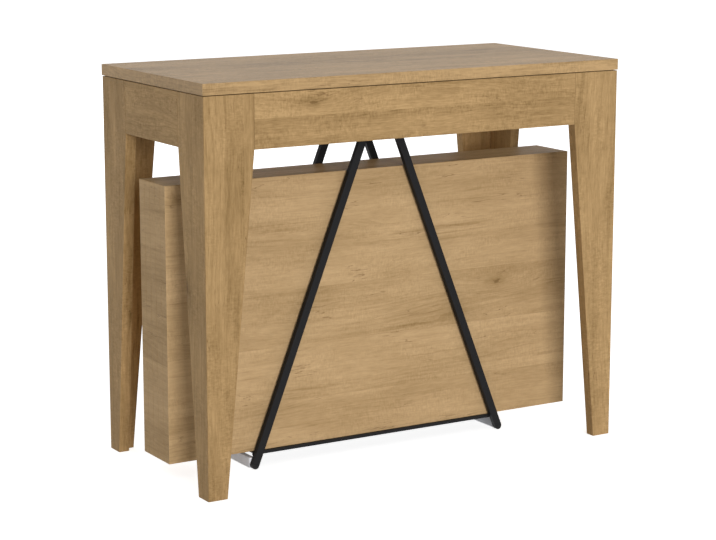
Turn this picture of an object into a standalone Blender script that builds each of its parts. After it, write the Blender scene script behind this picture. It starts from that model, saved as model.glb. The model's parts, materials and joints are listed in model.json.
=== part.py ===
"""Extendable console table with a leaf rack.

The fixed frame carries the top, the rear legs, the side aprons and the rack. The front frame
(front legs and front apron) pulls out on two banks of interlocking aluminium rails, and the
loose leaves that then fill the gap stand on edge in the rack, between two steel A-frames.

Metres. The origin is on the floor under the middle of the closed table, X runs along the long
side, the front faces -Y and Z is up.
"""

import math

import bmesh
import bpy
from mathutils import Vector

# Closed table
TOP_LENGTH = 0.900
TOP_DEPTH = 0.420
TABLE_HEIGHT = 0.750
PANEL_THICKNESS = 0.021       # the top and the leaves, which lie flush with it
FRAME_BOARD = 0.021           # leg boards and aprons
TOP_OVERHANG = 0.001
SHADOW_GAP = 0.0015           # open joint between the frame and the underside of the top
APRON_HEIGHT = 0.099
LEG_HEAD_WIDTH = 0.100        # each leg board at apron height
LEG_FOOT_WIDTH = 0.039        # each leg board at the floor
BOARD_EDGE = 0.0006           # rounding of the edge banding

# Boards that back the aprons inside
BACKING_BOARD = 0.021
BACKING_LIFT = 0.002          # how far they stop above the apron's lower edge

# Leaves
LEAF_COUNT = 5
LEAF_WIDTH = 0.520
LEAF_BASE = 0.0315            # lower edge of a stored leaf above the floor

# Telescopic rails
RAIL_COUNT = 10               # members in each bank, the first fixed and the last on the front frame
RAIL_HEIGHT = 0.040
RAIL_BODY = 0.0125            # width of a member without its tongue
RAIL_WALL = 0.002
RAIL_LIP = 0.0025             # depth of the groove's mouth
GROOVE_MOUTH = 0.008
GROOVE_WIDTH = 0.015
GROOVE_DEPTH = 0.0035         # behind the lips
RAIL_END_ROOM = 0.002         # from a member's end to the apron it faces

# Folded angles that tie the innermost rails to the front backing board
BRACKET_SHEET = 0.002
BRACKET_WIDTH = 0.027
BRACKET_DROP = 0.040          # leg on the board
BRACKET_REACH = 0.030         # leg under the rail
BRACKET_BEND = 0.003          # outer radius of the fold

# Rack
RACK_SPREAD = 0.555           # between the centres of an A-frame's two feet
APEX_DROP = 0.016             # from the underside of the top down to where the tube centres cross
TUBE_WIDTH = 0.015            # rectangular tube, outside, across the face of an A-frame
TUBE_DEPTH = 0.010            # and through it
TUBE_WALL = 0.0012
RACK_CLEARANCE = 0.006        # from the leaf stack to the tubes
TRAY_SHEET = 0.002
TRAY_EDGE = 0.006             # the tray's folded edge
FOOT_BAR_THICKNESS = 0.010
FOOT_BAR_HEIGHT = 0.020
FOOT_BAR_LIFT = 0.001
PLUG_SPIGOT = 0.014           # length of a foot plug inside its tube
HEAD_PLATE_LENGTH = 0.080
HEAD_PLATE_MARGIN = 0.010     # past the outer faces of the A-frames
HEAD_PLATE_SHEET = 0.003

# Clearances
SEAT_GAP = 0.0003             # between pieces that bear on each other
RUN_GAP = 0.0005              # between pieces that slide past each other
TONGUE_CLEARANCE = 0.0004     # around a rail's tongue in its groove

# Roundness
EDGE_ANGLE = math.radians(30) # edges sharper than this are rounded
EDGE_SEGMENTS = 2
ROUND_SEGMENTS = 12           # facets in a half circle

# Places that several pieces share
HALF_LENGTH = TOP_LENGTH / 2
HALF_DEPTH = TOP_DEPTH / 2
TOP_LOW = TABLE_HEIGHT - PANEL_THICKNESS
FRAME_HIGH = TOP_LOW - SHADOW_GAP
APRON_LOW = FRAME_HIGH - APRON_HEIGHT
FRAME_X = HALF_LENGTH - TOP_OVERHANG
FRAME_Y = HALF_DEPTH - TOP_OVERHANG
INNER_X = FRAME_X - FRAME_BOARD
INNER_Y = FRAME_Y - FRAME_BOARD
BACKING_FACE_Y = INNER_Y - SEAT_GAP - BACKING_BOARD
RAIL_HIGH = TOP_LOW - RUN_GAP
RAIL_LOW = RAIL_HIGH - RAIL_HEIGHT
RAIL_PITCH = RAIL_BODY + RUN_GAP
LEAF_PITCH = PANEL_THICKNESS + SEAT_GAP
STACK_HALF = (LEAF_COUNT * LEAF_PITCH - SEAT_GAP) / 2
TUBE_INNER_Y = STACK_HALF + RACK_CLEARANCE
TUBE_MIDDLE_Y = TUBE_INNER_Y + TUBE_DEPTH / 2
FOOT_X = RACK_SPREAD / 2
FOOT_Z = TUBE_WIDTH / 2
APEX_Z = TOP_LOW - APEX_DROP
TUBE_TILT = math.atan2(FOOT_X, APEX_Z - FOOT_Z)

SIDES = {"left": -1, "right": 1}
ENDS = {"front": -1, "rear": 1}


def clear_scene():
    for old in list(bpy.data.objects):
        bpy.data.objects.remove(old, do_unlink=True)


def make_material(name, colour, roughness, metallic=0.0):
    material = bpy.data.materials.new(name)
    material.use_nodes = True
    shader = material.node_tree.nodes["Principled BSDF"]
    shader.inputs["Base Color"].default_value = (*colour, 1.0)
    shader.inputs["Roughness"].default_value = roughness
    shader.inputs["Metallic"].default_value = metallic
    return material


def make_body(name, location=(0.0, 0.0, 0.0)):
    """An empty that carries the pieces of one rigid body."""
    empty = bpy.data.objects.new(name, None)
    empty.location = location
    bpy.context.collection.objects.link(empty)
    return empty


def add_piece(name, bm, material, body, edge=0.0):
    """Turn a mesh in table coordinates into a piece of a body, with its origin at its middle."""
    bmesh.ops.recalc_face_normals(bm, faces=bm.faces)
    corners = [vert.co for vert in bm.verts]
    low = Vector(min(co[axis] for co in corners) for axis in range(3))
    high = Vector(max(co[axis] for co in corners) for axis in range(3))
    middle = (low + high) / 2
    bmesh.ops.translate(bm, vec=-middle, verts=bm.verts)
    mesh = bpy.data.meshes.new(name)
    bm.to_mesh(mesh)
    bm.free()
    mesh.materials.append(material)
    piece = bpy.data.objects.new(name, mesh)
    bpy.context.collection.objects.link(piece)
    piece.parent = body
    piece.location = middle - body.location
    if edge:
        rounding = piece.modifiers.new("edge", "BEVEL")
        rounding.width = edge
        rounding.segments = EDGE_SEGMENTS
        rounding.limit_method = "ANGLE"
        rounding.angle_limit = EDGE_ANGLE
    return piece


def loft(rings):
    """A closed body through rings of equally many points, capped at both ends."""
    bm = bmesh.new()
    loops = [[bm.verts.new(point) for point in ring] for ring in rings]
    for first, second in zip(loops, loops[1:]):
        for index in range(len(first)):
            after = (index + 1) % len(first)
            bm.faces.new((first[index], first[after], second[after], second[index]))
    bm.faces.new(loops[0])
    bm.faces.new(loops[-1])
    return bm


def extrude_section(loops, along):
    """A body with the section that the loops bound, the first outside and the rest as through holes."""
    bm = bmesh.new()
    edges = []
    for loop in loops:
        verts = [bm.verts.new(point) for point in loop]
        for index, vert in enumerate(verts):
            edges.append(bm.edges.new((vert, verts[index - 1])))
    bmesh.ops.triangle_fill(bm, edges=edges, use_beauty=True)
    swept = bmesh.ops.extrude_face_region(bm, geom=bm.faces[:], use_keep_orig=True)
    moved = [item for item in swept["geom"] if isinstance(item, bmesh.types.BMVert)]
    bmesh.ops.translate(bm, vec=along, verts=moved)
    return bm


def add_board(name, low, high, material, body):
    """A rectangular board between two opposite corners, given in any order."""
    (x0, x1), (y0, y1), (z0, z1) = [sorted(pair) for pair in zip(low, high)]
    rings = [[(x0, y0, z), (x1, y0, z), (x1, y1, z), (x0, y1, z)] for z in (z0, z1)]
    return add_piece(name, loft(rings), material, body, BOARD_EDGE)


def add_leg_board(name, side, end, faces_end, material, body):
    """One board of an L-shaped leg: square at apron height, tapered below, mitred at the corner."""
    mitre_gap = SEAT_GAP / math.sqrt(2)

    def outline(depth):
        start = depth + mitre_gap
        return [
            (start, 0.0),
            (LEG_FOOT_WIDTH, 0.0),
            (LEG_HEAD_WIDTH, APRON_LOW),
            (LEG_HEAD_WIDTH, FRAME_HIGH),
            (start, FRAME_HIGH),
        ]

    def place(across, depth, height):
        inward_x, inward_y = (across, depth) if faces_end else (depth, across)
        return (side * (FRAME_X - inward_x), end * (FRAME_Y - inward_y), height)

    rings = [[place(across, depth, height) for across, height in outline(depth)]
             for depth in (0.0, FRAME_BOARD)]
    return add_piece(name, loft(rings), material, body, BOARD_EDGE)


def add_leg(end_name, side_name, material, body):
    side, end = SIDES[side_name], ENDS[end_name]
    leg = f"{end_name}_{side_name}_leg"
    add_leg_board(f"{leg}_{end_name}_board", side, end, True, material, body)
    add_leg_board(f"{leg}_side_board", side, end, False, material, body)


def add_end_frame(end_name, oak, backing, body):
    """Two legs, the apron between them and the backing board that ties the three together."""
    end = ENDS[end_name]
    for side_name in SIDES:
        add_leg(end_name, side_name, oak, body)
    apron_half = FRAME_X - LEG_HEAD_WIDTH - SEAT_GAP
    add_board(f"{end_name}_apron", (-apron_half, end * INNER_Y, APRON_LOW),
              (apron_half, end * FRAME_Y, FRAME_HIGH), oak, body)
    backing_half = INNER_X - SEAT_GAP
    add_board(f"{end_name}_backing_board",
              (-backing_half, end * BACKING_FACE_Y, APRON_LOW + BACKING_LIFT),
              (backing_half, end * (INNER_Y - SEAT_GAP), RAIL_LOW - RUN_GAP), backing, body)


def add_side(side_name, oak, backing, body):
    """The side apron between the legs and the backing board that carries the top and the rails."""
    side = SIDES[side_name]
    apron_half = FRAME_Y - LEG_HEAD_WIDTH - SEAT_GAP
    add_board(f"{side_name}_apron", (side * INNER_X, -apron_half, APRON_LOW),
              (side * FRAME_X, apron_half, FRAME_HIGH), oak, body)
    backing_x = INNER_X - RUN_GAP
    backing_y = BACKING_FACE_Y - RUN_GAP
    add_board(f"{side_name}_backing_board",
              (side * (backing_x - BACKING_BOARD), -backing_y, APRON_LOW + BACKING_LIFT),
              (side * backing_x, backing_y, TOP_LOW - SEAT_GAP), backing, body)


def rail_section():
    """Outline and chambers of a rail member as (inward, upward) points from its outer lower corner.

    The T-groove in the outer face takes the T-tongue of the member before it.
    """
    middle = RAIL_HEIGHT / 2
    mouth = GROOVE_MOUTH / 2
    groove = GROOVE_WIDTH / 2
    groove_end = RAIL_LIP + GROOVE_DEPTH
    neck = mouth - TONGUE_CLEARANCE
    head = groove - TONGUE_CLEARANCE
    head_start = RAIL_PITCH + RAIL_LIP + TONGUE_CLEARANCE
    head_end = RAIL_PITCH + groove_end - TONGUE_CLEARANCE

    lower = [
        (0.0, middle - mouth),
        (0.0, 0.0),
        (RAIL_BODY, 0.0),
        (RAIL_BODY, middle - neck),
        (head_start, middle - neck),
        (head_start, middle - head),
        (head_end, middle - head),
    ]
    groove_lower = [
        (groove_end, middle - groove),
        (RAIL_LIP, middle - groove),
        (RAIL_LIP, middle - mouth),
    ]

    def mirrored(points):
        return [(inward, RAIL_HEIGHT - upward) for inward, upward in reversed(points)]

    outline = groove_lower + lower + mirrored(lower) + mirrored(groove_lower)
    chamber_low = RAIL_WALL
    chamber_high = middle - groove - RAIL_WALL
    chamber = [
        (RAIL_WALL, chamber_low),
        (RAIL_BODY - RAIL_WALL, chamber_low),
        (RAIL_BODY - RAIL_WALL, chamber_high),
        (RAIL_WALL, chamber_high),
    ]
    return [outline, chamber, mirrored(chamber)]


def rail_outer_x(number):
    """Outer face of a rail member. Members count inwards from the side backing board."""
    return INNER_X - RUN_GAP - BACKING_BOARD - SEAT_GAP - number * RAIL_PITCH


def add_rail(number, side_name, material, body):
    """One member of a bank."""
    side = SIDES[side_name]
    outer_x = rail_outer_x(number)
    half = INNER_Y - RAIL_END_ROOM
    loops = [[(side * (outer_x - inward), -half, RAIL_LOW + upward) for inward, upward in loop]
             for loop in rail_section()]
    bm = extrude_section(loops, Vector((0.0, 2 * half, 0.0)))
    return add_piece(f"rail_{number}_{side_name}", bm, material, body)


def add_rail_bracket(side_name, material, body):
    """The folded angle that ties the innermost rail of a bank to the front backing board."""
    side = SIDES[side_name]
    outer_x = rail_outer_x(RAIL_COUNT - 1) - RUN_GAP
    face = SEAT_GAP - BACKING_FACE_Y
    high = RAIL_LOW - SEAT_GAP
    low = high - BRACKET_DROP
    tip = face + BRACKET_REACH
    fold_y = face + BRACKET_BEND
    fold_z = high - BRACKET_BEND
    steps = ROUND_SEGMENTS // 2
    angles = [math.pi / 2 * step / steps for step in range(steps + 1)]

    def fold(radius):
        return [(fold_y - radius * math.cos(angle), fold_z + radius * math.sin(angle)) for angle in angles]

    outline = [(face, low), *fold(BRACKET_BEND), (tip, high), (tip, high - BRACKET_SHEET),
               *reversed(fold(BRACKET_BEND - BRACKET_SHEET)), (face + BRACKET_SHEET, low)]
    loop = [(side * outer_x, y, z) for y, z in outline]
    bm = extrude_section([loop], Vector((-side * BRACKET_WIDTH, 0.0, 0.0)))
    return add_piece(f"front_{side_name}_rail_bracket", bm, material, body)


def tube_frame(side, end):
    """Origin at the centre of a foot's round end, and the directions across and along its tube."""
    origin = Vector((side * FOOT_X, end * TUBE_MIDDLE_Y, FOOT_Z))
    along = Vector((-side * math.sin(TUBE_TILT), 0.0, math.cos(TUBE_TILT)))
    across = Vector((math.cos(TUBE_TILT), 0.0, side * math.sin(TUBE_TILT)))
    return origin, across, along


def cut_away(bm, point, normal):
    """Cut a hollow body with a plane, drop what lies on the normal's side and close the cut."""
    geometry = bm.verts[:] + bm.edges[:] + bm.faces[:]
    result = bmesh.ops.bisect_plane(bm, geom=geometry, plane_co=point, plane_no=normal, clear_outer=True)
    rim = [item for item in result["geom_cut"] if isinstance(item, bmesh.types.BMEdge)]
    bmesh.ops.triangle_fill(bm, edges=rim, use_beauty=True)


def add_rack_tube(side_name, end_name, head_z, material, body):
    """A leaning tube, open at the foot for its plug and mitred against its twin at the apex."""
    side, end = SIDES[side_name], ENDS[end_name]
    origin, across, along = tube_frame(side, end)
    depth = Vector((0.0, 1.0, 0.0))
    start = origin + along * SEAT_GAP

    def section(inset):
        half_width = TUBE_WIDTH / 2 - inset
        half_depth = TUBE_DEPTH / 2 - inset
        return [start + across * (half_width * u) + depth * (half_depth * v)
                for u, v in ((-1, -1), (1, -1), (1, 1), (-1, 1))]

    reach = (TOP_LOW - FOOT_Z) / math.cos(TUBE_TILT)
    bm = extrude_section([section(0.0), section(TUBE_WALL)], along * reach)
    cut_away(bm, Vector((side * SEAT_GAP / 2, 0.0, 0.0)), Vector((-side, 0.0, 0.0)))
    cut_away(bm, Vector((0.0, 0.0, head_z)), Vector((0.0, 0.0, 1.0)))
    return add_piece(f"rack_{end_name}_{side_name}_tube", bm, material, body)


def add_foot_plug(side_name, end_name, material, body):
    """The rounded plug that closes the foot of a rack tube and stands on the floor."""
    origin, across, along = tube_frame(SIDES[side_name], ENDS[end_name])
    radius = TUBE_WIDTH / 2
    angles = [math.pi * step / ROUND_SEGMENTS for step in range(ROUND_SEGMENTS + 1)]
    outline = [origin + across * (radius * math.cos(angle)) - along * (radius * math.sin(angle))
               for angle in angles]
    depth = Vector((0.0, TUBE_DEPTH / 2, 0.0))
    bm = loft([[point - depth for point in outline], [point + depth for point in outline]])
    bm.normal_update()
    shoulder = max(bm.faces, key=lambda face: face.calc_center_median().dot(along))
    bmesh.ops.inset_region(bm, faces=[shoulder], thickness=TUBE_WALL + SEAT_GAP, use_even_offset=True)
    raised = bmesh.ops.extrude_face_region(bm, geom=[shoulder])
    top = [item for item in raised["geom"] if isinstance(item, bmesh.types.BMVert)]
    bmesh.ops.translate(bm, vec=along * PLUG_SPIGOT, verts=top)
    bmesh.ops.delete(bm, geom=[shoulder], context="FACES_ONLY")
    return add_piece(f"rack_{end_name}_{side_name}_foot_plug", bm, material, body)


def add_rack_tray(material, body):
    """A folded sheet under the leaves, with its long edges turned down against the tubes."""
    half_width = TUBE_INNER_Y - SEAT_GAP
    high = LEAF_BASE - SEAT_GAP
    low = high - TRAY_EDGE
    half_length = (APEX_Z - low) * math.tan(TUBE_TILT) + TUBE_WIDTH / 2 / math.cos(TUBE_TILT)
    inner = half_width - TRAY_SHEET
    under = high - TRAY_SHEET
    section = [
        (-half_width, low), (-inner, low), (-inner, under), (inner, under),
        (inner, low), (half_width, low), (half_width, high), (-half_width, high),
    ]
    bm = extrude_section([[(-half_length, y, z) for y, z in section]], Vector((2 * half_length, 0.0, 0.0)))
    return add_piece("rack_tray", bm, material, body)


def add_foot_bar(side_name, material, body):
    """The upright flat bar that ties a front foot to the rear foot behind it, rounded at both ends."""
    side = SIDES[side_name]
    radius = FOOT_BAR_THICKNESS / 2
    middle_x = side * (FOOT_X + TUBE_WIDTH / 2 - radius)
    straight = TUBE_INNER_Y - SEAT_GAP - radius
    angles = [math.pi * step / ROUND_SEGMENTS for step in range(ROUND_SEGMENTS + 1)]
    outline = [(middle_x + radius * math.cos(angle), straight + radius * math.sin(angle))
               for angle in angles]
    outline += [(2 * middle_x - x, -y) for x, y in outline]
    rings = [[(x, y, z) for x, y in outline]
             for z in (FOOT_BAR_LIFT, FOOT_BAR_LIFT + FOOT_BAR_HEIGHT)]
    return add_piece(f"rack_{side_name}_foot_bar", loft(rings), material, body, BOARD_EDGE)


def add_rack(steel, plastic, bar, body):
    plate_high = TOP_LOW - SEAT_GAP
    plate_low = plate_high - HEAD_PLATE_SHEET
    plate_half = TUBE_INNER_Y + TUBE_DEPTH + HEAD_PLATE_MARGIN
    add_board("rack_head_plate", (-HEAD_PLATE_LENGTH / 2, -plate_half, plate_low),
              (HEAD_PLATE_LENGTH / 2, plate_half, plate_high), steel, body)
    for side_name in SIDES:
        for end_name in ENDS:
            add_rack_tube(side_name, end_name, plate_low - SEAT_GAP, steel, body)
            add_foot_plug(side_name, end_name, plastic, body)
        add_foot_bar(side_name, bar, body)
    add_rack_tray(steel, body)


def add_leaf(number, material):
    """A loose leaf, stored on its long edge. Leaves count from the front of the stack."""
    front = -STACK_HALF + (number - 1) * LEAF_PITCH
    body = make_body(f"leaf_{number}_slide", (0.0, front, LEAF_BASE))
    add_board(f"leaf_{number}", (-HALF_LENGTH, front, LEAF_BASE),
              (HALF_LENGTH, front + PANEL_THICKNESS, LEAF_BASE + LEAF_WIDTH), material, body)


def main():
    clear_scene()
    oak = make_material("oak_laminate", (0.42, 0.29, 0.155), 0.5)
    backing = make_material("backing_board", (0.46, 0.36, 0.24), 0.65)
    aluminium = make_material("aluminium", (0.72, 0.73, 0.74), 0.32, 1.0)
    black_steel = make_material("black_steel", (0.012, 0.012, 0.013), 0.45)
    black_plastic = make_material("black_plastic", (0.010, 0.010, 0.010), 0.5)
    grey_steel = make_material("grey_steel", (0.62, 0.63, 0.64), 0.35, 0.6)

    fixed_frame = make_body("fixed_frame")
    front_frame = make_body("front_frame_slide", (0.0, -HALF_DEPTH, RAIL_LOW))

    add_board("top", (-HALF_LENGTH, -HALF_DEPTH, TOP_LOW), (HALF_LENGTH, HALF_DEPTH, TABLE_HEIGHT),
              oak, fixed_frame)
    add_end_frame("rear", oak, backing, fixed_frame)
    for side_name in SIDES:
        add_side(side_name, oak, backing, fixed_frame)
    add_rack(black_steel, black_plastic, grey_steel, fixed_frame)

    add_end_frame("front", oak, backing, front_frame)
    for number in range(RAIL_COUNT):
        if number == 0:
            body = fixed_frame
        elif number == RAIL_COUNT - 1:
            body = front_frame
        else:
            body = make_body(f"rail_stage_{number}", (0.0, 0.0, RAIL_LOW))
        for side_name in SIDES:
            add_rail(number, side_name, aluminium, body)
    for side_name in SIDES:
        add_rail_bracket(side_name, grey_steel, front_frame)

    for number in range(1, LEAF_COUNT + 1):
        add_leaf(number, oak)


main()
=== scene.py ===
"""Dresses the extendable console table: the finish of every solid, the small fittings, the studio.

The table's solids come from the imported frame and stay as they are. Metres, Z up, the front faces -Y.
"""

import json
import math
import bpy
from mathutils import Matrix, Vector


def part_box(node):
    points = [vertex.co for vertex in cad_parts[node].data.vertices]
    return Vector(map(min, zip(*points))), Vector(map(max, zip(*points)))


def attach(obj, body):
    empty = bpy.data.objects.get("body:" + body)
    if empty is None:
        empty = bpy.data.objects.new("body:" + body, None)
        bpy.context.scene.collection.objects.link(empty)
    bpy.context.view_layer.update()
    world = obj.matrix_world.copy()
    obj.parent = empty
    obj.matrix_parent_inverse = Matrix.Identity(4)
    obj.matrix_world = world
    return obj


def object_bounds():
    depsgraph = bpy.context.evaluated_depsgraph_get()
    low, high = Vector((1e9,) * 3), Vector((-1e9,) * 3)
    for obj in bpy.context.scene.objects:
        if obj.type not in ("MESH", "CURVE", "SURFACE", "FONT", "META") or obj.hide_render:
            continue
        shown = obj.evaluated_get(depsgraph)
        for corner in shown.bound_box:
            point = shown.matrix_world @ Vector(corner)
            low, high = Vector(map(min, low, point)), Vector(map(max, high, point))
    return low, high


bl_info = {
    "name": "Extendable Console Table",
    "version": (1, 0, 0),
    "blender": (4, 5, 0),
    "location": "View3D > Sidebar > Console Table",
    "description": "Finishes, fittings and studio for an extendable console table",
    "category": "Object",
}

import bmesh
import bpy
from bpy.props import BoolProperty, FloatProperty, FloatVectorProperty, IntProperty, PointerProperty
from mathutils import Matrix, Vector

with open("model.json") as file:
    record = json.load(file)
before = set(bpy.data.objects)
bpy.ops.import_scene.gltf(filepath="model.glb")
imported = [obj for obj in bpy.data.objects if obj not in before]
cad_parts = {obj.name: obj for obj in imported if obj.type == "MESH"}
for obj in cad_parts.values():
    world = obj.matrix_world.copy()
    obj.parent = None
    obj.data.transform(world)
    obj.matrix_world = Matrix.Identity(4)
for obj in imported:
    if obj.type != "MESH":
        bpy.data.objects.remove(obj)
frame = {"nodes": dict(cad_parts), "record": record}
CAD_LOW, CAD_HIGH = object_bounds()

NODES = frame["nodes"]
BODY_OF = {node: body for body, nodes in frame["record"]["behaviour"]["bodies"].items() for node in nodes}


def nodes_starting(start):
    return sorted(name for name in NODES if name.startswith(start))


def nodes_ending(end):
    return sorted(name for name in NODES if name.endswith(end))


TOP = "top"
APRONS = nodes_ending("_apron")
LEG_BOARDS = sorted(name for name in NODES if "_leg_" in name)
LEAVES = nodes_starting("leaf_")
BACKING_BOARDS = nodes_ending("_backing_board")
RAILS = nodes_starting("rail_")
BRACKETS = nodes_ending("_rail_bracket")
TUBES = nodes_ending("_tube")
TRAY = "rack_tray"
HEAD_PLATE = "rack_head_plate"
FOOT_PLUGS = nodes_ending("_foot_plug")
FOOT_BARS = nodes_ending("_foot_bar")

# Decor of the frame and the top, against that of the leaves, which has the colours in the settings. The
# frame's colours are darker than the leaves' partly as painted light: the leaves stay lighter to make up
# for the shade that falls on the recessed leaf stack.
FRAME_LIGHT = (0.88, 0.838, 0.735)
FRAME_DARK = (0.68, 0.640, 0.550)
TOP_LIGHT = (0.94, 0.885, 0.776)
TOP_DARK = (0.465, 0.433, 0.386)
LEG_FIGURE = 1.35                        # strength of the large marks, against 1 on the other boards
FRAME_FLECK = 1.7                        # strength of the fine marks, also on the top
LEG_FLECK = 1.3
LEAF_FLECK = 1.0
BOARD_STEP = Vector((1.91, 0.83, 0.57))  # from one board's figure to the next one's, along its axes

# Share of a face's normal along the board, or through it: an edge below the first value
END_FACING = (0.70, 0.72)        # a sawn end above the second
BROAD_FACING = (0.80, 0.85)      # a broad face above the second

# Oak figure
STRIP_JUMP = 9.0                 # metres along the grain, at most, from one strip's figure to another's
KNOT_CELLS = (2.3, 7.5, 0.0)     # per metre along the grain and across it, with a knot in some of them
KNOT_RAGGEDNESS = 0.11           # share of a cell
BEND_REACH = 0.050               # metres that the growth lines swing across, in long waves
SWAY_REACH = 0.0040              # the same, in short waves
KNOT_REACH = 0.016               # metres that a knot pushes them aside
GROWTH_LINES = 105.0             # per metre
GROWTH_WANDER = 5.0              # lines
GROWTH_FADE = 3.2                # exponent
MEAN_DARKNESS = 0.38             # from light wood, 0, to dark wood, 1
FLAW_STRENGTH = 0.55             # share of the wood's colour that a flaw takes up
STREAK_DEPTH = 0.5               # shares of the relief
FIBRE_RISE = 0.35
RAW_EDGE_ROUGHNESS = 0.80
BACKING_ROUGHNESS = 0.50
CHIPS = (260.0, 260.0, 620.0)    # per metre along a raw board, across it and through it

FLOOR_GAP = 0.0003               # keeps the floor's plane apart from the feet's
NODE_SPACING = 180               # in the node editor

# A pan head's outline, in shares of its radius and height, and its cross recess in the same shares
HEAD_PROFILE = ((1.0, 0.0), (1.0, 0.25), (0.94, 0.55), (0.80, 0.82), (0.60, 1.0))
HEAD_SEGMENTS = 24
RECESS_REACH = 0.46
RECESS_HALF_WIDTH = 0.11
RECESS_DEPTH = 0.6
RECESS_TAPER = 0.72              # the recess's floor against its mouth

# A Mix node's sockets for one kind of data: first input, second input, output
MIX_VECTOR = (4, 5, 1)
MIX_COLOUR = (6, 7, 2)
SOCKET_KINDS = {"vector": "NodeSocketVector", "colour": "NodeSocketColor", "value": "NodeSocketFloat"}


def colour_property(name, description, colour):
    return FloatVectorProperty(name=name, description=description, subtype="COLOR", size=3, min=0.0,
                               max=1.0, default=colour)


def share_property(name, description, value):
    return FloatProperty(name=name, description=description, subtype="FACTOR", min=0.0, max=1.0,
                         default=value)


def length_property(name, description, length):
    return FloatProperty(name=name, description=description, subtype="DISTANCE", unit="LENGTH", min=0.0,
                         precision=5, default=length)


def angle_property(name, description, degrees):
    return FloatProperty(name=name, description=description, subtype="ANGLE", unit="ROTATION",
                         default=math.radians(degrees))


def count_property(name, description, count):
    return IntProperty(name=name, description=description, min=2, default=count)


def group_property(group, name, description):
    return PointerProperty(type=group, name=name, description=description)


class OakSettings(bpy.types.PropertyGroup):
    """The oak decor on the boards."""

    light_wood: colour_property("Light Wood", "Early wood between the growth lines", (0.582, 0.397, 0.212))
    dark_wood: colour_property("Dark Wood", "Late wood in the growth lines", (0.243, 0.149, 0.0545))
    flaw: colour_property("Flaw", "Hearts of knots and hairline checks", (0.135, 0.070, 0.024))
    chip_light: colour_property("Light Chip", "Pale chips in the raw core", (0.46, 0.34, 0.20))
    chip_dark: colour_property("Dark Chip", "Brown chips in the raw core", (0.20, 0.125, 0.065))
    strip_width: length_property("Strip Width", "Strips that the decor is made up of", 0.108)
    relief: length_property("Relief", "Depth of the embossed pores", 0.00012)
    gloss: share_property("Gloss", "Strength of the shine on the decor", 0.05)
    top_gloss: share_property("Top Gloss", "Strength of the shine on the top, which is wiped most", 0.24)


class MetalSettings(bpy.types.PropertyGroup):
    """The metal and plastic finishes."""

    aluminium: colour_property("Aluminium", "Anodised rails", (0.52, 0.53, 0.54))
    black_coat: colour_property("Black Coat", "Powder coat of the rack", (0.0085, 0.0085, 0.0095))
    black_plastic: colour_property("Black Plastic", "Foot plugs and rail caps", (0.0075, 0.0075, 0.0078))
    bar_grey: colour_property("Bar Grey", "Lacquered bars between the feet", (0.77, 0.78, 0.82))
    zinc: colour_property("Zinc", "Plated screws and brackets", (0.52, 0.51, 0.47))


class FittingSettings(bpy.types.PropertyGroup):
    """Fittings that are too small for the solids."""

    rail_body: length_property("Rail Body", "Thickness of a rail member without its tongue", 0.0125)
    cap_thickness: length_property("Cap Thickness", "Plastic cap on the end of a rail member", 0.0014)
    cap_inset: length_property("Cap Inset", "From a rail's faces to its cap", 0.0003)
    cap_rim: length_property("Cap Rim", "Bevel round the cap", 0.0004)
    cap_corner: length_property("Cap Corner", "Rounding of the cap's corners", 0.0010)
    notch_height: length_property("Notch Height", "Way through the cap for the next rail's tongue", 0.0158)
    notch_depth: length_property("Notch Depth", "Way through the cap for the next rail's tongue", 0.0064)
    screw_head: length_property("Screw Head", "Diameter of a pan head", 0.0075)
    screw_height: length_property("Screw Height", "Height of a pan head", 0.0022)
    long_board_screws: count_property("Long Board Screws", "Along a front or rear backing board", 6)
    short_board_screws: count_property("Short Board Screws", "Along a side backing board", 3)
    screw_rise: length_property("Screw Rise", "Screws above a backing board's lower edge", 0.028)
    plate_screws: count_property("Plate Screws", "Across each end of the rack's head plate", 2)
    plate_margin: length_property("Plate Margin", "Screws in from the head plate's ends", 0.010)
    bracket_sheet: length_property("Bracket Sheet", "Thickness of a rail bracket", 0.002)
    bracket_margin: length_property("Bracket Margin", "Screws in from a rail bracket's ends", 0.009)
    bracket_pitch: length_property("Bracket Pitch", "Between the screws in a bracket's upright leg", 0.016)


def level_property(level):
    return share_property("Level", "Brightness that it gives a white surface facing it", level)


def turn_property(degrees):
    return angle_property("Turn", "Round from the front, towards the right", degrees)


def rise_property(degrees):
    return angle_property("Rise", "Above the horizon", degrees)


def distance_property(length):
    return length_property("Distance", "From the table", length)


def edge_property(length):
    return length_property("Size", "Edge of the light", length)


def shine_property(shines):
    return BoolProperty(name="Shines", description="Shows in glossy surfaces", default=shines)


class KeyLightSettings(bpy.types.PropertyGroup):
    """The main light."""

    level: level_property(0.645)
    turn: turn_property(-11.0)
    rise: rise_property(10.0)
    distance: distance_property(24.0)
    size: edge_property(9.0)
    shines: shine_property(True)


class BackLightSettings(bpy.types.PropertyGroup):
    """The light behind the table."""

    level: level_property(0.32)
    turn: turn_property(180.0)
    rise: rise_property(12.0)
    distance: distance_property(7.0)
    size: edge_property(3.5)
    shines: shine_property(False)


class SideLightSettings(bpy.types.PropertyGroup):
    """The light on the side that the main light leaves dark."""

    level: level_property(0.16)
    turn: turn_property(95.0)
    rise: rise_property(8.0)
    distance: distance_property(7.0)
    size: edge_property(3.5)
    shines: shine_property(False)


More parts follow.
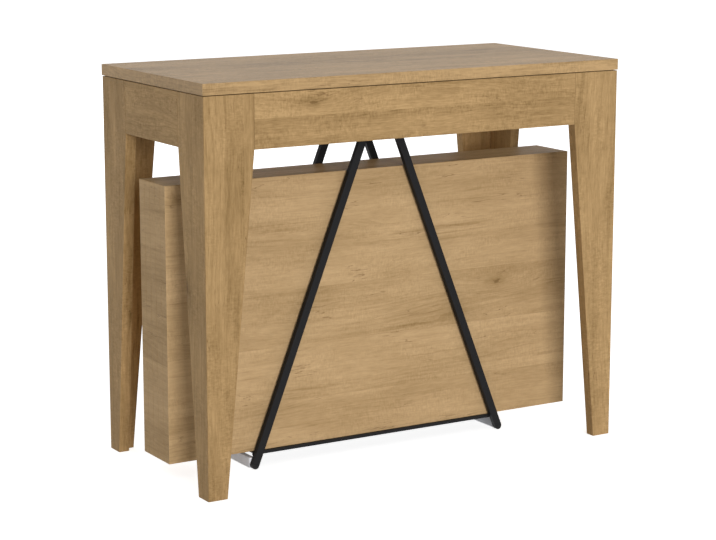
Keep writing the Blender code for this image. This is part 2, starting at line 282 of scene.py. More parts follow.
class StudioSettings(bpy.types.PropertyGroup):
    """Floor, light and camera."""

    floor_colour: colour_property("Floor", "Matt floor", (0.90, 0.90, 0.90))
    floor_glow: share_property("Floor Glow", "Added for the camera so that the open floor is white", 0.75)
    floor_size: length_property("Floor Size", "Edge of the floor", 40.0)
    ambient: share_property("Ambient", "Strength of the light from all round", 0.388)
    key: group_property(KeyLightSettings, "Key Light", "Main light, at the front")
    back: group_property(BackLightSettings, "Back Light", "Weaker light, behind the table")
    side: group_property(SideLightSettings, "Side Light", "Weakest light, at the right")
    camera_place: FloatVectorProperty(name="Camera", description="Where the camera stands",
                                      subtype="TRANSLATION", unit="LENGTH", size=3,
                                      default=(-2.0885, -3.4495, 1.1306))
    camera_turn: angle_property("Camera Turn", "Heading, from straight at the front", -31.055)
    camera_dip: angle_property("Camera Dip", "How far the camera looks down", 11.043)
    lens: FloatProperty(name="Lens", description="Focal length", subtype="DISTANCE_CAMERA", unit="CAMERA",
                        default=106.056)


class ConsoleTableSettings(bpy.types.PropertyGroup):
    """Everything that a user would change."""

    oak: group_property(OakSettings, "Oak", "Oak decor")
    metal: group_property(MetalSettings, "Metal", "Metal and plastic")
    fittings: group_property(FittingSettings, "Fittings", "Small fittings")
    studio: group_property(StudioSettings, "Studio", "Floor, light and camera")


class NodeSheet:
    """Writes nodes into a tree. Most calls give back an output socket, ready to feed the next node."""

    def __init__(self, tree):
        self.tree = tree

    def add(self, kind, values=None, **settings):
        node = self.tree.nodes.new(kind)
        node.location.x = NODE_SPACING * len(self.tree.nodes)
        for name, value in settings.items():
            setattr(node, name, value)
        for key, value in (values or {}).items():
            self.feed(node.inputs[key], value)
        return node

    def feed(self, socket, value):
        """Link an output socket to this socket, or set a plain value on it."""
        if isinstance(value, bpy.types.NodeSocket):
            self.tree.links.new(value, socket)
        else:
            socket.default_value = value

    def math(self, operation, first, second=0.0, clamp=False):
        values = {0: first, 1: second}
        return self.add("ShaderNodeMath", values, operation=operation, use_clamp=clamp).outputs[0]

    def stretch(self, vector, factors):
        return self.add("ShaderNodeVectorMath", {0: vector, 1: factors}, operation="MULTIPLY").outputs[0]

    def shift(self, vector, offset):
        return self.add("ShaderNodeVectorMath", {0: vector, 1: offset}, operation="ADD").outputs[0]

    def split(self, vector):
        return self.add("ShaderNodeSeparateXYZ", {0: vector}).outputs

    def join(self, x, y, z):
        return self.add("ShaderNodeCombineXYZ", {0: x, 1: y, 2: z}).outputs[0]

    def noise(self, vector, along, across, detail=2.0, roughness=0.5):
        """Noise with that many features per metre along the first axis and along the other two."""
        scaled = self.stretch(vector, (along, across, across))
        values = {"Vector": scaled, "Scale": 1.0, "Detail": detail, "Roughness": roughness}
        return self.add("ShaderNodeTexNoise", values).outputs["Fac"]

    def swing(self, vector, along, across, detail=2.0, roughness=0.5):
        """Noise that goes as far below zero as above it."""
        return self.math("SUBTRACT", self.noise(vector, along, across, detail, roughness), 0.5)

    def ramp(self, value, zero_at, one_at):
        """A smooth step, which is 0 at one value and 1 at the other."""
        values = {"Value": value, "From Min": zero_at, "From Max": one_at}
        return self.add("ShaderNodeMapRange", values, interpolation_type="SMOOTHSTEP").outputs[0]

    def spread(self, value, at_zero, at_one):
        """A straight map of the values from 0 to 1."""
        values = {"Value": value, "To Min": at_zero, "To Max": at_one}
        return self.add("ShaderNodeMapRange", values).outputs[0]

    def weighted(self, parts):
        """The sum of values, each given with its weight and the level at which it counts for nothing."""
        total = 0.0
        for value, weight, rest in parts:
            part = self.math("MULTIPLY", self.math("SUBTRACT", value, rest), weight)
            total = self.math("ADD", part, total)
        return total

    def mix_colour(self, factor, first, second, blend="MIX"):
        first_input, second_input, result = MIX_COLOUR
        values = {0: factor, first_input: first, second_input: second}
        return self.add("ShaderNodeMix", values, data_type="RGBA", blend_type=blend).outputs[result]

    def mix_vector(self, factor, first, second):
        first_input, second_input, result = MIX_VECTOR
        values = {0: factor, first_input: first, second_input: second}
        return self.add("ShaderNodeMix", values, data_type="VECTOR").outputs[result]

    def dim(self, colour, level):
        """The colour, darker or lighter by a level."""
        return self.mix_colour(1.0, colour, self.join(level, level, level), "MULTIPLY")


def start_group(name, inputs, outputs):
    """A shader node group with named sockets, given as name and kind, and the sheet to write it with."""
    tree = bpy.data.node_groups.new(name, "ShaderNodeTree")
    for socket, kind in inputs.items():
        tree.interface.new_socket(socket, in_out="INPUT", socket_type=SOCKET_KINDS[kind])
    for socket, kind in outputs.items():
        tree.interface.new_socket(socket, in_out="OUTPUT", socket_type=SOCKET_KINDS[kind])
    sheet = NodeSheet(tree)
    given = sheet.add("NodeGroupInput").outputs
    return sheet, given


def end_group(sheet, results):
    sheet.add("NodeGroupOutput", results)
    return sheet.tree


def use_group(sheet, name, build, values):
    """The group of that name, built on first use, with its own values here."""
    group = bpy.data.node_groups.get(name) or build(name)
    return sheet.add("ShaderNodeGroup", values, node_tree=group)


def opaque(colour):
    return (*colour, 1.0)


def tinted(colour, shade):
    return opaque([channel * share for channel, share in zip(colour, shade)])


def strip_position(sheet, position, width):
    """The position, where each strip is cut from another place, and each strip's own shade."""
    strip = sheet.math("FLOOR", sheet.math("DIVIDE", sheet.split(position)[1], width))
    shade = sheet.add("ShaderNodeTexWhiteNoise", {"W": strip}, noise_dimensions="1D").outputs["Value"]
    jump = sheet.join(sheet.math("MULTIPLY", shade, STRIP_JUMP), 0.0, shade)
    return sheet.shift(position, jump), shade


def knot_distance(sheet, position):
    """How far the nearest knot is, in cells. A cell that holds none counts as far away."""
    values = {"Vector": sheet.stretch(position, KNOT_CELLS), "Scale": 1.0}
    cells = sheet.add("ShaderNodeTexVoronoi", values, voronoi_dimensions="2D").outputs
    empty = sheet.ramp(sheet.split(cells["Color"])[0], zero_at=0.72, one_at=0.68)
    return sheet.math("ADD", cells["Distance"], empty)


def bent_grain(sheet, position, knot_far):
    """The position, where the growth lines bend, close into arches and run round the knots."""
    drift = sheet.weighted((
        (sheet.swing(position, along=1.7, across=6.0, detail=1.0), BEND_REACH, 0.0),
        (sheet.swing(position, along=11.0, across=40.0), SWAY_REACH, 0.0),
        (sheet.ramp(knot_far, zero_at=0.36, one_at=0.0), KNOT_REACH, 0.0),
    ))
    return sheet.shift(position, sheet.join(0.0, drift, drift))


def in_patches(sheet, position, marks, along, across, zero_at, one_at, detail=2.0):
    """The marks, where they lie in a patch, and 0 elsewhere."""
    kept = sheet.ramp(sheet.noise(position, along, across, detail), zero_at, one_at)
    return sheet.math("MULTIPLY", marks, kept)


def growth_lines(sheet, position, grain):
    """Lines that start sharply and fade."""
    parts = sheet.split(grain)
    wander = sheet.math("MULTIPLY", sheet.noise(grain, along=1.1, across=17.0), GROWTH_WANDER)
    year = sheet.math("MULTIPLY", sheet.math("ADD", parts[1], parts[2]), GROWTH_LINES)
    line = sheet.math("FRACT", sheet.math("ADD", year, wander))
    line = sheet.math("POWER", line, GROWTH_FADE)
    return in_patches(sheet, position, line, along=2.6, across=11.0, zero_at=0.46, one_at=0.68)


def dark_streaks(sheet, position, grain):
    """Dark streaks along the grain."""
    streak = sheet.noise(grain, along=4.2, across=130.0, detail=3.0, roughness=0.6)
    streak = sheet.ramp(streak, zero_at=0.52, one_at=0.70)
    return in_patches(sheet, position, streak, along=3.2, across=17.0, zero_at=0.53, one_at=0.66)


def saw_marks(sheet, position):
    """Short marks that the saw leaves square to the grain, some darker and some lighter."""
    mark = sheet.swing(position, along=270.0, across=110.0, roughness=0.6)
    return in_patches(sheet, position, mark, along=9.0, across=24.0, zero_at=0.30, one_at=0.70, detail=1.0)


def hairline_checks(sheet, position, grain):
    """Fine cracks along the grain."""
    line = sheet.swing(grain, along=5.0, across=60.0, detail=3.0, roughness=0.55)
    crack = sheet.ramp(sheet.math("ABSOLUTE", line), zero_at=0.012, one_at=0.0)
    return in_patches(sheet, position, crack, along=8.0, across=26.0, zero_at=0.57, one_at=0.66)


def oak_grain(name):
    """Oak decor in strips. Position runs along the grain, across the face and through the board."""
    sheet, given = start_group(
        name,
        {"Position": "vector", "Strip": "value", "Figure": "value", "Fleck": "value",
         "Light Wood": "colour", "Dark Wood": "colour", "Flaw": "colour"},
        {"Color": "colour", "Roughness": "value", "Height": "value"},
    )
    position, strip_shade = strip_position(sheet, given["Position"], given["Strip"])
    knot_far = knot_distance(sheet, position)
    grain = bent_grain(sheet, position, knot_far)
    ragged = sheet.math("MULTIPLY", sheet.swing(position, along=70.0, across=210.0), KNOT_RAGGEDNESS)
    knot_eye = sheet.math("ADD", knot_far, ragged)

    tone = sheet.noise(grain, along=0.9, across=13.0)
    cloud = sheet.noise(position, along=5.5, across=17.0)
    rings = sheet.noise(grain, along=2.6, across=90.0, detail=4.0, roughness=0.66)
    mottle = sheet.noise(grain, along=55.0, across=120.0, roughness=0.6)
    dashes = sheet.noise(grain, along=42.0, across=330.0, roughness=0.6)
    fibre = sheet.noise(grain, along=11.0, across=520.0, detail=3.0, roughness=0.7)
    pores = sheet.noise(grain, along=60.0, across=1500.0, detail=1.0)
    pores = sheet.ramp(pores, zero_at=0.60, one_at=0.72)
    streak = dark_streaks(sheet, position, grain)

    # How much each mark darkens the wood, and the level at which it leaves it as it is.
    figure = sheet.weighted((
        (strip_shade, 0.18, 0.5),
        (tone, 0.45, 0.5),
        (cloud, 0.60, 0.5),
        (rings, 0.54, 0.5),
        (growth_lines(sheet, position, grain), 0.17, 0.09),
        (streak, 0.30, 0.07),
        (sheet.ramp(knot_eye, zero_at=0.13, one_at=0.0), 0.30, 0.0),
    ))
    flecks = sheet.weighted((
        (mottle, 0.20, 0.5),
        (dashes, 0.42, 0.5),
        (fibre, 0.24, 0.5),
        (pores, 0.10, 0.2),
        (saw_marks(sheet, position), 0.60, 0.0),
    ))
    figure = sheet.math("MULTIPLY", figure, given["Figure"])
    flecks = sheet.math("MULTIPLY", flecks, given["Fleck"])
    darkness = sheet.math("ADD", figure, flecks)
    darkness = sheet.math("ADD", darkness, MEAN_DARKNESS, clamp=True)
    wood = sheet.mix_colour(darkness, given["Light Wood"], given["Dark Wood"])

    knot_heart = sheet.ramp(knot_eye, zero_at=0.030, one_at=0.006)
    flaw = sheet.math("MAXIMUM", knot_heart, hairline_checks(sheet, position, grain))
    colour = sheet.mix_colour(sheet.math("MULTIPLY", flaw, FLAW_STRENGTH), wood, given["Flaw"])

    wear = sheet.weighted(((fibre, 0.6, 0.0), (pores, 0.4, 0.0)))
    roughness = sheet.spread(wear, at_zero=0.40, at_one=0.58)
    groove = sheet.math("MAXIMUM", flaw, sheet.math("MULTIPLY", streak, STREAK_DEPTH))
    groove = sheet.math("MAXIMUM", pores, groove)
    height = sheet.math("SUBTRACT", sheet.math("MULTIPLY", fibre, FIBRE_RISE), groove)
    return end_group(sheet, {"Color": colour, "Roughness": roughness, "Height": height})


def chip_core(name):
    """Raw chipboard: flat chips of mixed browns, pressed together."""
    sheet, given = start_group(
        name,
        {"Position": "vector", "Light Chip": "colour", "Dark Chip": "colour"},
        {"Color": "colour", "Height": "value"},
    )
    values = {"Vector": sheet.stretch(given["Position"], CHIPS), "Scale": 1.0}
    chips = sheet.add("ShaderNodeTexVoronoi", values).outputs["Color"]
    dust = sheet.noise(given["Position"], along=900.0, across=900.0)
    share = sheet.weighted(((sheet.split(chips)[0], 0.7, 0.0), (dust, 0.3, 0.0)))
    colour = sheet.mix_colour(share, given["Light Chip"], given["Dark Chip"])
    return end_group(sheet, {"Color": colour, "Height": sheet.math("SUBTRACT", share, 0.5)})


def fine_speckle(name):
    """The fine grain of a coat or a moulding, and the handling that dulls it in patches."""
    sheet, given = start_group(
        name,
        {"Position": "vector", "Grain": "value", "Tint": "colour"},
        {"Color": "colour", "Roughness": "value", "Height": "value"},
    )
    values = {0: given["Position"], "Scale": given["Grain"]}
    sized = sheet.add("ShaderNodeVectorMath", values, operation="SCALE").outputs[0]
    peel = sheet.noise(sized, along=1.0, across=1.0)
    handling = sheet.noise(given["Position"], along=16.0, across=16.0, detail=3.0, roughness=0.6)
    lift = sheet.weighted(((peel, 0.5, 0.0), (handling, 0.5, 0.0)))
    colour = sheet.dim(given["Tint"], sheet.spread(lift, at_zero=0.55, at_one=1.45))
    roughness = sheet.spread(handling, at_zero=0.40, at_one=0.62)
    return end_group(sheet, {"Color": colour, "Roughness": roughness, "Height": peel})


def drawn_lines(name):
    """Lines that drawing or extruding leaves on a metal section. Position runs along it first."""
    sheet, given = start_group(
        name,
        {"Position": "vector", "Tint": "colour"},
        {"Color": "colour", "Roughness": "value", "Height": "value"},
    )
    lines = sheet.noise(given["Position"], along=1.5, across=1400.0, detail=3.0, roughness=0.65)
    cloud = sheet.noise(given["Position"], along=14.0, across=40.0, detail=3.0, roughness=0.6)
    lift = sheet.weighted(((lines, 0.55, 0.0), (cloud, 0.45, 0.0)))
    wear = sheet.weighted(((lines, 0.4, 0.0), (cloud, 0.6, 0.0)))
    colour = sheet.dim(given["Tint"], sheet.spread(lift, at_zero=0.72, at_one=1.28))
    roughness = sheet.spread(wear, at_zero=0.22, at_one=0.52)
    return end_group(sheet, {"Color": colour, "Roughness": roughness, "Height": lines})


def blank_sheet(owner):
    """The emptied node tree of a material or a world, ready to be written."""
    owner.use_nodes = True
    owner.node_tree.nodes.clear()
    return NodeSheet(owner.node_tree)


def start_material(name):
    """A material that holds only its shader, and the sheet to write it with."""
    material = bpy.data.materials.new(name)
    sheet = blank_sheet(material)
    shader = sheet.add("ShaderNodeBsdfPrincipled")
    sheet.add("ShaderNodeOutputMaterial", {"Surface": shader.outputs[0]})
    return material, sheet, shader


def emboss(sheet, shader, height, relief):
    """Feed a height to the shader as a relief of that depth."""
    bump = sheet.add("ShaderNodeBump", {"Strength": 1.0, "Distance": relief, "Height": height})
    sheet.feed(shader.inputs["Normal"], bump.outputs[0])


def dress_shader(sheet, shader, finish, relief):
    """Feed a finish group's colour, roughness and height to the shader."""
    sheet.feed(shader.inputs["Base Color"], finish.outputs["Color"])
    sheet.feed(shader.inputs["Roughness"], finish.outputs["Roughness"])
    emboss(sheet, shader, finish.outputs["Height"], relief)


def give(node, material):
    """Put one material on a solid, in place of those that it came with."""
    slots = NODES[node].data.materials
    slots.clear()
    slots.append(material)


def axes_by_size(node):
    """The node's axes from its longest side to its shortest."""
    low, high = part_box(node)
    return sorted(range(3), key=lambda axis: low[axis] - high[axis])


def board_frame(sheet, node, offset):
    """Place and facing on a board, along its length, across its face and through it."""
    place = sheet.add("ShaderNodeTexCoord").outputs
    order = axes_by_size(node)
    position = sheet.join(*[sheet.split(place["Object"])[axis] for axis in order])
    facing = sheet.join(*[sheet.split(place["Normal"])[axis] for axis in order])
    return sheet.shift(position, offset), facing


def turn_ends(sheet, node, position, facing):
    """The position, with the grain turned on sawn ends: along a board's end, but across the leaf stack."""
    if node in LEAVES:
        x, y, z = sheet.split(sheet.add("ShaderNodeTexCoord").outputs["Object"])
        turned = sheet.join(y, z, x)
    else:
        along, across, depth = sheet.split(position)
        turned = sheet.join(across, along, depth)
    end_share = sheet.ramp(sheet.math("ABSOLUTE", sheet.split(facing)[0]), *END_FACING)
    return sheet.mix_vector(end_share, position, turned)


def broad_share(sheet, facing):
    """1 on a board's broad faces and 0 on its edges."""
    return sheet.ramp(sheet.math("ABSOLUTE", sheet.split(facing)[2]), *BROAD_FACING)


def oak_decor(sheet, node, position, facing, oak):
    """The oak group with this board's colours and strength of marks."""
    # The leaves keep the lighter colours partly as painted light, making up for the shade on the recessed
    # leaf stack.
    if node in LEAVES:
        fleck = LEAF_FLECK
        light_wood = opaque(oak.light_wood)
        dark_wood = opaque(oak.dark_wood)
    else:
        fleck = LEG_FLECK if node in LEG_BOARDS else FRAME_FLECK
        light_wood = tinted(oak.light_wood, FRAME_LIGHT)
        dark_wood = tinted(oak.dark_wood, FRAME_DARK)
    if node == TOP:
        # Its face is another sheet of decor than the banding on its edges.
        face = broad_share(sheet, facing)
        light_wood = sheet.mix_colour(face, light_wood, tinted(oak.light_wood, TOP_LIGHT))
        dark_wood = sheet.mix_colour(face, dark_wood, tinted(oak.dark_wood, TOP_DARK))
    return use_group(sheet, "oak_grain", oak_grain, {
        "Position": turn_ends(sheet, node, position, facing),
        "Strip": oak.strip_width,
        "Figure": LEG_FIGURE if node in LEG_BOARDS else 1.0,
        "Fleck": fleck,
        "Light Wood": light_wood,
        "Dark Wood": dark_wood,
        "Flaw": opaque(oak.flaw),
    })


def oak_material(node, number, oak):
    material, sheet, shader = start_material(f"oak_decor_{node}")
    shader.inputs["Specular IOR Level"].default_value = oak.top_gloss if node == TOP else oak.gloss
    position, facing = board_frame(sheet, node, BOARD_STEP * number)
    dress_shader(sheet, shader, oak_decor(sheet, node, position, facing, oak), oak.relief)
    return material


def backing_material(node, number, oak):
    """Oak decor on the broad faces, raw chipboard on the sawn edges."""
    material, sheet, shader = start_material(f"backing_board_{node}")
    position, facing = board_frame(sheet, node, BOARD_STEP * number)
    decor = oak_decor(sheet, node, position, facing, oak)
    core = use_group(sheet, "chip_core", chip_core, {
        "Position": position,
        "Light Chip": opaque(oak.chip_light),
        "Dark Chip": opaque(oak.chip_dark),
    })
    broad = broad_share(sheet, facing)
    colour = sheet.mix_colour(broad, core.outputs["Color"], decor.outputs["Color"])
    sheet.feed(shader.inputs["Base Color"], colour)
    roughness = sheet.spread(broad, at_zero=RAW_EDGE_ROUGHNESS, at_one=BACKING_ROUGHNESS)
    sheet.feed(shader.inputs["Roughness"], roughness)
    emboss(sheet, shader, core.outputs["Height"], oak.relief)
    return material


def speckled_material(name, tint, grain, specular, relief, metallic=0.0):
    """A finish with so many fine grains per metre, made on first use."""
    if name in bpy.data.materials:
        return bpy.data.materials[name]
    material, sheet, shader = start_material(name)
    shader.inputs["Specular IOR Level"].default_value = specular
    shader.inputs["Metallic"].default_value = metallic
    finish = use_group(sheet, "fine_speckle", fine_speckle, {
        "Position": sheet.add("ShaderNodeTexCoord").outputs["Object"],
        "Grain": grain,
        "Tint": opaque(tint),
    })
    dress_shader(sheet, shader, finish, relief)
    return material


def black_powder_coat(metal):
    """The coat of the rack's tubes and sheets."""
    return speckled_material("black_powder_coat", metal.black_coat, grain=620.0, specular=0.14,
                             relief=0.00008)


def black_moulding(metal):
    """The plastic of the foot plugs and the rail caps."""
    return speckled_material("black_moulding", metal.black_plastic, grain=900.0, specular=0.18,
                             relief=0.00006)


def light_grey_lacquer(metal):
    """The coat of the bars between the feet."""
    return speckled_material("light_grey_lacquer", metal.bar_grey, grain=1400.0, specular=0.35,
                             relief=0.00003)


def zinc_plate(metal):
    """The plating of the screws and the rail brackets."""
    return speckled_material("zinc_plate", metal.zinc, grain=900.0, specular=0.5,
                             relief=0.00002, metallic=1.0)


def anodised_aluminium(metal):
    """The extruded metal of the rails, which run along Y."""
    material, sheet, shader = start_material("anodised_aluminium")
    shader.inputs["Metallic"].default_value = 1.0
    x, y, z = sheet.split(sheet.add("ShaderNodeTexCoord").outputs["Object"])
    finish = use_group(sheet, "drawn_lines", drawn_lines, {
        "Position": sheet.join(y, x, z),
        "Tint": opaque(metal.aluminium),
    })
    dress_shader(sheet, shader, finish, relief=0.00003)
    return material


def add_piece(name, bm, material, body):
    """A new piece in table coordinates that rides on a body."""
    bmesh.ops.recalc_face_normals(bm, faces=bm.faces)
    mesh = bpy.data.meshes.new(name)
    bm.to_mesh(mesh)
    bm.free()
    mesh.materials.append(material)
    piece = bpy.data.objects.new(name, mesh)
    bpy.context.scene.collection.objects.link(piece)
    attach(piece, body)


def rounded(corners, radius, steps=3):
    """The outline with each corner turned into a short curve."""
    outline = []
    for before, corner, after in zip(corners[-1:] + corners[:-1], corners, corners[1:] + corners[:1]):
        start = corner + (before - corner).normalized() * radius
        end = corner + (after - corner).normalized() * radius
        for step in range(steps + 1):
            share = step / steps
            outline.append(start.lerp(corner, share).lerp(corner.lerp(end, share), share))
    return outline


def cap_outline(rail, fittings):
    """Outline of a rail's end cap in x and z, open for the tongue of the next member."""
    low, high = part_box(rail)
    outer, inward = (low.x, 1) if rail.endswith("_left") else (high.x, -1)
    near = fittings.cap_inset
    far = fittings.rail_body - fittings.cap_inset
    bottom = low.z + fittings.cap_inset
    top = high.z - fittings.cap_inset
    notch_end = fittings.notch_depth
    notch_bottom = (low.z + high.z) / 2 - fittings.notch_height / 2
    notch_top = (low.z + high.z) / 2 + fittings.notch_height / 2
    corners = (
        (near, bottom), (far, bottom), (far, top), (near, top),
        (near, notch_top), (notch_end, notch_top), (notch_end, notch_bottom), (near, notch_bottom),
    )
    places = [Vector((outer + inward * depth, height)) for depth, height in corners]
    return rounded(places, fittings.cap_corner)


def add_cap(bm, outline, rail_end, outward, fittings):
    """A plate on a rail's end with a bevelled rim."""
    rim_start = rail_end + outward * (fittings.cap_thickness - fittings.cap_rim)
    inner = [bm.verts.new((x, rail_end, z)) for x, z in outline]
    outer = [bm.verts.new((x, rim_start, z)) for x, z in outline]
    faces = [bm.faces.new(inner), bm.faces.new(outer)]
    for index in range(len(outline)):
        faces.append(bm.faces.new((inner[index - 1], inner[index], outer[index], outer[index - 1])))
    bmesh.ops.recalc_face_normals(bm, faces=faces)
    bmesh.ops.inset_region(bm, faces=[faces[1]], thickness=fittings.cap_rim, depth=fittings.cap_rim,
                           use_even_offset=True)


def add_screw(bm, place, facing, fittings):
    """A pan head with a cross recess, seated at a place and facing away from its board."""
    seat = Matrix.Translation(place) @ facing.to_track_quat("Z", "Y").to_matrix().to_4x4()
    radius = fittings.screw_head / 2
    height = fittings.screw_height

    angles = [math.tau * step / HEAD_SEGMENTS for step in range(HEAD_SEGMENTS)]
    rings = []
    for share, rise in HEAD_PROFILE:
        reach = radius * share
        ring = [(reach * math.cos(angle), reach * math.sin(angle), height * rise) for angle in angles]
        rings.append([bm.verts.new(seat @ Vector(point)) for point in ring])
    bm.faces.new(rings[0])
    for lower, upper in zip(rings, rings[1:]):
        for step in range(HEAD_SEGMENTS):
            bm.faces.new((lower[step - 1], lower[step], upper[step], upper[step - 1]))

    arm = radius * RECESS_REACH
    half = radius * RECESS_HALF_WIDTH
    cross = []
    for quarter in range(4):
        turn = Matrix.Rotation(quarter * math.pi / 2, 2)
        cross += [turn @ Vector(corner) for corner in ((arm, -half), (arm, half), (half, half))]
    mouth = [bm.verts.new(seat @ Vector((x, y, height))) for x, y in cross]
    bottom = height * (1 - RECESS_DEPTH)
    floor = [bm.verts.new(seat @ Vector((x * RECESS_TAPER, y * RECESS_TAPER, bottom))) for x, y in cross]
    bm.faces.new(floor)
    for index in range(len(cross)):
        bm.faces.new((mouth[index - 1], mouth[index], floor[index], floor[index - 1]))
    rims = [bm.edges.get((loop[index - 1], loop[index]))
            for loop in (rings[-1], mouth) for index in range(len(loop))]
    bmesh.ops.triangle_fill(bm, edges=rims, use_beauty=True)


def spread_evenly(low, high, count):
    """Places along a length, each in the middle of its share."""
    return [low + (high - low) * (index + 0.5) / count for index in range(count)]


def screw_backing_board(board, zinc, fittings):
    """A row of screws along the board's inner face."""
    low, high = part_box(board)
    centre = (low + high) / 2
    height = low.z + fittings.screw_rise
    bm = bmesh.new()
    if high.x - low.x > high.y - low.y:
        inward = Vector((0.0, -math.copysign(1.0, centre.y), 0.0))
        face = min(low.y, high.y, key=abs)
        for x in spread_evenly(low.x, high.x, fittings.long_board_screws):
            add_screw(bm, Vector((x, face, height)), inward, fittings)
    else:
        inward = Vector((-math.copysign(1.0, centre.x), 0.0, 0.0))
        face = min(low.x, high.x, key=abs)
        for y in spread_evenly(low.y, high.y, fittings.short_board_screws):
            add_screw(bm, Vector((face, y, height)), inward, fittings)
    add_piece(board.replace("_board", "_screws"), bm, zinc, BODY_OF[board])


def screw_head_plate(zinc, fittings):
    """Screws from below at both ends of the rack's head plate."""
    low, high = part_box(HEAD_PLATE)
    downward = Vector((0.0, 0.0, -1.0))
    bm = bmesh.new()
    for x in (low.x + fittings.plate_margin, high.x - fittings.plate_margin):
        for y in spread_evenly(low.y, high.y, fittings.plate_screws):
            add_screw(bm, Vector((x, y, low.z)), downward, fittings)
    add_piece(f"{HEAD_PLATE}_screws", bm, zinc, BODY_OF[HEAD_PLATE])


def screw_bracket(bracket, zinc, fittings):
    """Two screws in the bracket's upright leg and one, from below, in its flat leg."""
    low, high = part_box(bracket)
    rearward = Vector((0.0, 1.0, 0.0))
    downward = Vector((0.0, 0.0, -1.0))
    middle = (low.x + high.x) / 2
    upright_face = low.y + fittings.bracket_sheet
    flat_face = high.z - fittings.bracket_sheet
    bm = bmesh.new()
    for rise in (fittings.bracket_margin, fittings.bracket_margin + fittings.bracket_pitch):
        add_screw(bm, Vector((middle, upright_face, low.z + rise)), rearward, fittings)
    add_screw(bm, Vector((middle, high.y - fittings.bracket_margin, flat_face)), downward, fittings)
    add_piece(f"{bracket}_screws", bm, zinc, BODY_OF[bracket])


def seen_share(sheet):
    """1 where the background is looked at, straight or in a reflection, and 0 where it gives light."""
    path = sheet.add("ShaderNodeLightPath").outputs
    direct = sheet.math("MAXIMUM", path["Is Camera Ray"], path["Is Glossy Ray"])
    return sheet.math("MAXIMUM", direct, path["Is Transmission Ray"])


def floor_material(studio):
    """Matt and pale, white to the camera where no shadow falls, and open to a camera under it."""
    material = bpy.data.materials.new("studio_floor")
    sheet = blank_sheet(material)
    matt = sheet.add("ShaderNodeBsdfDiffuse", {"Color": opaque(studio.floor_colour)}).outputs[0]
    strength = sheet.math("MULTIPLY", seen_share(sheet), studio.floor_glow)
    glow = sheet.add("ShaderNodeEmission", {"Strength": strength}).outputs[0]
    lit = sheet.add("ShaderNodeAddShader", {0: matt, 1: glow}).outputs[0]
    backfacing = sheet.add("ShaderNodeNewGeometry").outputs["Backfacing"]
    from_camera = sheet.add("ShaderNodeLightPath").outputs["Is Camera Ray"]
    seen_from_below = sheet.math("MULTIPLY", backfacing, from_camera)
    clear = sheet.add("ShaderNodeBsdfTransparent").outputs[0]
    surface = sheet.add("ShaderNodeMixShader", {0: seen_from_below, 1: lit, 2: clear}).outputs[0]
    sheet.add("ShaderNodeOutputMaterial", {"Surface": surface})
    return material


def lay_floor(scene, studio):
    half = studio.floor_size / 2
    bm = bmesh.new()
    corners = [(-half, -half), (half, -half), (half, half), (-half, half)]
    bm.faces.new([bm.verts.new((x, y, CAD_LOW.z - FLOOR_GAP)) for x, y in corners])
    mesh = bpy.data.meshes.new("floor")
    bm.to_mesh(mesh)
    bm.free()
    mesh.materials.append(floor_material(studio))
    floor = bpy.data.objects.new("floor", mesh)
    scene.collection.objects.link(floor)


def light_surroundings(scene, studio):
    """Plain white surroundings: full strength where they are looked at, less where they light."""
    world = bpy.data.worlds.new("studio")
    sheet = blank_sheet(world)
    strength = sheet.spread(seen_share(sheet), at_zero=studio.ambient, at_one=1.0)
    white = opaque((1.0, 1.0, 1.0))
    background = sheet.add("ShaderNodeBackground", {"Color": white, "Strength": strength}).outputs[0]
    sheet.add("ShaderNodeOutputWorld", {"Surface": background})
    scene.world = world


def hang_light(scene, name, light):
    """A square soft light that faces the middle of the table and isn't seen itself."""
    target = (CAD_LOW + CAD_HIGH) / 2
    heading = Vector((math.sin(light.turn), -math.cos(light.turn), 0.0))
    towards = heading * math.cos(light.rise) + Vector((0.0, 0.0, math.sin(light.rise)))
    lamp = bpy.data.lights.new(name, "AREA")
    lamp.shape = "SQUARE"
    lamp.size = light.size
    # A lamp of this power gives a white surface that faces it, at this distance, about that brightness.
    lamp.energy = light.level * math.pi ** 2 * light.distance ** 2
    holder = bpy.data.objects.new(name, lamp)
    holder.location = target + towards * light.distance
    holder.rotation_euler = towards.to_track_quat("Z", "Y").to_euler()
    holder.visible_camera = False
    holder.visible_glossy = light.shines
    scene.collection.objects.link(holder)


def place_camera(scene, studio):
    camera = bpy.data.cameras.new("camera")
    camera.lens = studio.lens
    camera.clip_end = 2 * studio.floor_size
    holder = bpy.data.objects.new("camera", camera)
    holder.location = studio.camera_place
    holder.rotation_euler = (math.pi / 2 - studio.camera_dip, 0.0, studio.camera_turn)
    scene.collection.objects.link(holder)
    scene.camera = holder


class CONSOLETABLE_OT_finish_oak(bpy.types.Operator):
    """Give the top, the aprons, the leg boards and the leaves their oak decor"""

    bl_idname = "consoletable.finish_oak"
    bl_label = "Finish Oak Boards"

    def execute(self, context):
        oak = context.scene.console_table.oak
        for number, node in enumerate([TOP, *APRONS, *LEG_BOARDS, *LEAVES]):
            give(node, oak_material(node, number, oak))
        return {"FINISHED"}


class CONSOLETABLE_OT_finish_backing(bpy.types.Operator):
    """Give the boards behind the aprons their decor and raw edges"""

    bl_idname = "consoletable.finish_backing"
    bl_label = "Finish Backing Boards"

    def execute(self, context):
        oak = context.scene.console_table.oak
        for number, node in enumerate(BACKING_BOARDS):
            give(node, backing_material(node, -1 - number, oak))
        return {"FINISHED"}


class CONSOLETABLE_OT_finish_rails(bpy.types.Operator):
    """Give the telescopic rails their anodised aluminium"""

    bl_idname = "consoletable.finish_rails"
    bl_label = "Finish Rails"

    def execute(self, context):
        material = anodised_aluminium(context.scene.console_table.metal)
        for node in RAILS:
            give(node, material)
        return {"FINISHED"}


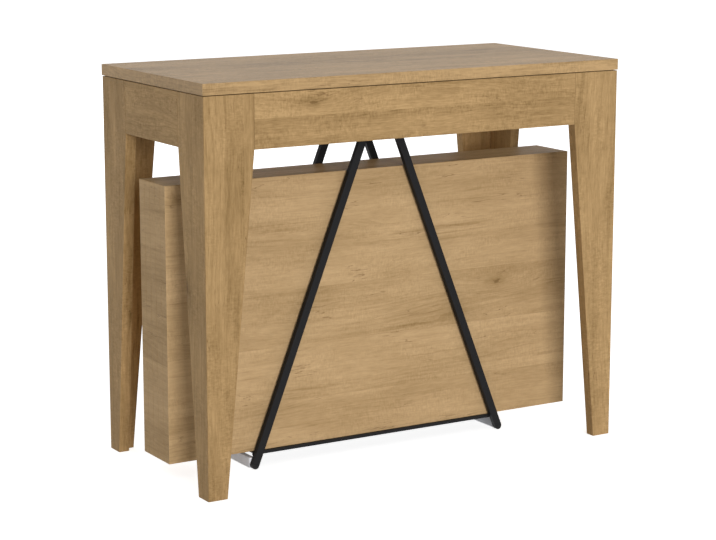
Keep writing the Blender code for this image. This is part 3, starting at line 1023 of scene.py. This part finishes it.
class CONSOLETABLE_OT_finish_brackets(bpy.types.Operator):
    """Give the brackets between the rails and the front frame their zinc plate"""

    bl_idname = "consoletable.finish_brackets"
    bl_label = "Finish Rail Brackets"

    def execute(self, context):
        metal = context.scene.console_table.metal
        for node in BRACKETS:
            give(node, zinc_plate(metal))
        return {"FINISHED"}


class CONSOLETABLE_OT_cap_rails(bpy.types.Operator):
    """Close both ends of every rail member with a plastic cap"""

    bl_idname = "consoletable.cap_rails"
    bl_label = "Cap Rails"

    def execute(self, context):
        settings = context.scene.console_table
        plastic = black_moulding(settings.metal)
        for rail in RAILS:
            low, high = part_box(rail)
            outline = cap_outline(rail, settings.fittings)
            bm = bmesh.new()
            add_cap(bm, outline, low.y, -1, settings.fittings)
            add_cap(bm, outline, high.y, 1, settings.fittings)
            add_piece(rail.replace("rail_", "rail_caps_"), bm, plastic, BODY_OF[rail])
        return {"FINISHED"}


class CONSOLETABLE_OT_finish_rack(bpy.types.Operator):
    """Give the leaf rack its powder coat, its plastic feet and its lacquered bars"""

    bl_idname = "consoletable.finish_rack"
    bl_label = "Finish Leaf Rack"

    def execute(self, context):
        metal = context.scene.console_table.metal
        for node in (*TUBES, TRAY, HEAD_PLATE):
            give(node, black_powder_coat(metal))
        for node in FOOT_PLUGS:
            give(node, black_moulding(metal))
        for node in FOOT_BARS:
            give(node, light_grey_lacquer(metal))
        return {"FINISHED"}


class CONSOLETABLE_OT_drive_screws(bpy.types.Operator):
    """Fix the backing boards, the rack's head plate and the rail brackets with screws"""

    bl_idname = "consoletable.drive_screws"
    bl_label = "Drive Screws"

    def execute(self, context):
        settings = context.scene.console_table
        zinc = zinc_plate(settings.metal)
        for board in BACKING_BOARDS:
            screw_backing_board(board, zinc, settings.fittings)
        screw_head_plate(zinc, settings.fittings)
        for bracket in BRACKETS:
            screw_bracket(bracket, zinc, settings.fittings)
        return {"FINISHED"}


class CONSOLETABLE_OT_build_studio(bpy.types.Operator):
    """Lay the floor, hang the lights, set the surroundings and place the camera"""

    bl_idname = "consoletable.build_studio"
    bl_label = "Build Studio"

    def execute(self, context):
        scene = context.scene
        studio = scene.console_table.studio
        lay_floor(scene, studio)
        light_surroundings(scene, studio)
        hang_light(scene, "key_light", studio.key)
        hang_light(scene, "back_light", studio.back)
        hang_light(scene, "side_light", studio.side)
        place_camera(scene, studio)
        scene.view_settings.view_transform = "Standard"
        return {"FINISHED"}


STEPS = (
    CONSOLETABLE_OT_finish_oak,
    CONSOLETABLE_OT_finish_backing,
    CONSOLETABLE_OT_finish_rails,
    CONSOLETABLE_OT_finish_brackets,
    CONSOLETABLE_OT_cap_rails,
    CONSOLETABLE_OT_finish_rack,
    CONSOLETABLE_OT_drive_screws,
    CONSOLETABLE_OT_build_studio,
)


class CONSOLETABLE_PT_panel(bpy.types.Panel):
    """Lists the steps in the order in which they run"""

    bl_idname = "CONSOLETABLE_PT_panel"
    bl_label = "Console Table"
    bl_space_type = "VIEW_3D"
    bl_region_type = "UI"
    bl_category = "Console Table"

    def draw(self, context):
        for step in STEPS:
            self.layout.operator(step.bl_idname)


CLASSES = (
    OakSettings,
    MetalSettings,
    FittingSettings,
    KeyLightSettings,
    BackLightSettings,
    SideLightSettings,
    StudioSettings,
    ConsoleTableSettings,
    *STEPS,
    CONSOLETABLE_PT_panel,
)


def register():
    for cls in CLASSES:
        bpy.utils.register_class(cls)
    bpy.types.Scene.console_table = group_property(ConsoleTableSettings, "Console Table",
                                                   "Sizes and colours of the console table")


def unregister():
    del bpy.types.Scene.console_table
    for cls in reversed(CLASSES):
        bpy.utils.unregister_class(cls)


def main():
    register()
    bpy.ops.consoletable.finish_oak()
    bpy.ops.consoletable.finish_backing()
    bpy.ops.consoletable.finish_rails()
    bpy.ops.consoletable.finish_brackets()
    bpy.ops.consoletable.cap_rails()
    bpy.ops.consoletable.finish_rack()
    bpy.ops.consoletable.drive_screws()
    bpy.ops.consoletable.build_studio()


if __name__ == "__main__":
    main()
